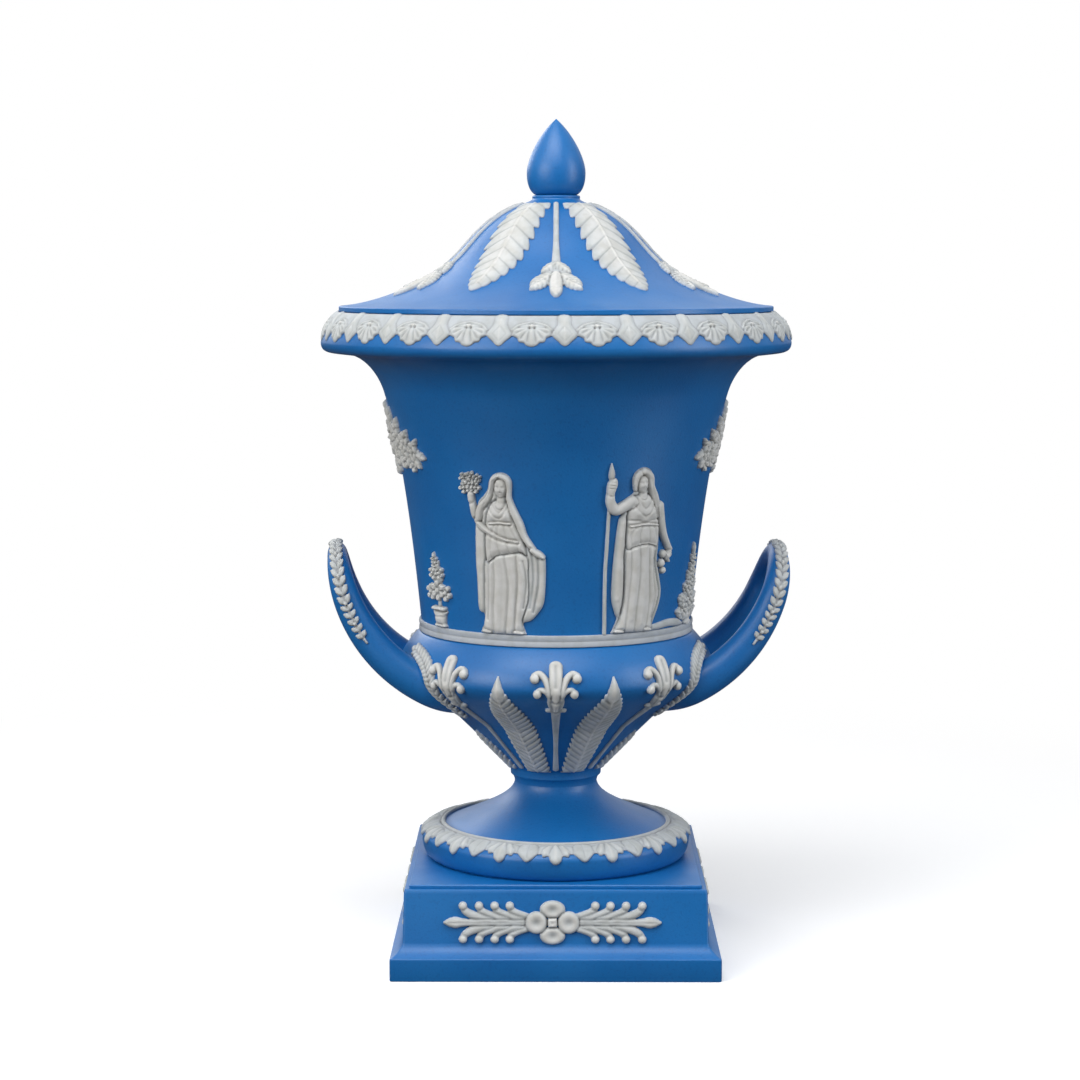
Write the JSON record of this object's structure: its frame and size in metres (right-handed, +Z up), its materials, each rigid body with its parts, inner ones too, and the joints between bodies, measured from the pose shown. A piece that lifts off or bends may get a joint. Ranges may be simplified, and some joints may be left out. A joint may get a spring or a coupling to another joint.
{
  "type": "lidded urn",
  "caption": "Covered vase of campana shape in blue stoneware with white applied reliefs, upright loop handles, a domed lid that lifts off, a round foot and a square plinth.",
  "frame": {"origin": "middle of the plinth's underside, on the ground", "axes": "+Z up along the urn's axis of turning, the front faces -Y, handles along X"},
  "size_m": [0.1864, 0.1864, 0.33],
  "materials": {
    "blue_stoneware": "matt unglazed blue stoneware",
    "white_relief": "matt unglazed white stoneware, thin edges a little bluish",
    "steel": "plain steel",
    "cork": "pressed cork"
  },
  "bodies": {
    "urn": {"plinth": "blue_stoneware", "foot": "blue_stoneware", "bowl": "blue_stoneware", "barrel": "blue_stoneware", "handle_right": "blue_stoneware", "handle_left": "blue_stoneware", "foot_border": "white_relief", "rim_border": "white_relief", "ground_band": "white_relief", "garland_right": "white_relief", "garland_left": "white_relief", "bunch_right": "white_relief", "bunch_left": "white_relief", "plinth_ornament_front": "white_relief", "plinth_ornament_right": "white_relief", "plinth_ornament_back": "white_relief", "plinth_ornament_left": "white_relief", "spray_front_right": "white_relief", "spray_front_left": "white_relief", "spray_back_left": "white_relief", "spray_back_right": "white_relief", "bowl_palmette_front_1": "white_relief", "bowl_palmette_front_2": "white_relief", "bowl_palmette_front_3": "white_relief", "bowl_leaf_front_1": "white_relief", "bowl_leaf_front_2": "white_relief", "root_leaf_front_1": "white_relief", "root_leaf_front_2": "white_relief", "figure_front_veiled": "white_relief", "figure_front_spear": "white_relief", "pot_front_left": "white_relief", "pot_front_right": "white_relief", "bowl_palmette_back_1": "white_relief", "bowl_palmette_back_2": "white_relief", "bowl_palmette_back_3": "white_relief", "bowl_leaf_back_1": "white_relief", "bowl_leaf_back_2": "white_relief", "root_leaf_back_1": "white_relief", "root_leaf_back_2": "white_relief", "figure_back_veiled": "white_relief", "figure_back_spear": "white_relief", "pot_back_left": "white_relief", "pot_back_right": "white_relief", "bolt": "steel", "nut_washer": "steel", "nut": "steel", "head_cork": "cork", "nut_cork": "cork"},
    "lid": {"lid": "blue_stoneware", "knob": "blue_stoneware", "lid_stem_1": "white_relief", "lid_stem_2": "white_relief", "lid_stem_3": "white_relief", "lid_stem_4": "white_relief", "lid_stem_5": "white_relief", "lid_leaf_1": "white_relief", "lid_leaf_2": "white_relief", "lid_leaf_3": "white_relief", "lid_leaf_4": "white_relief", "lid_leaf_5": "white_relief"}
  },
  "joints": [
    {"name": "lid_lift", "type": "slide", "parent": "urn", "child": "lid", "axis": [0, 0, 1], "range_m": [0, 0.14]}
  ]
}
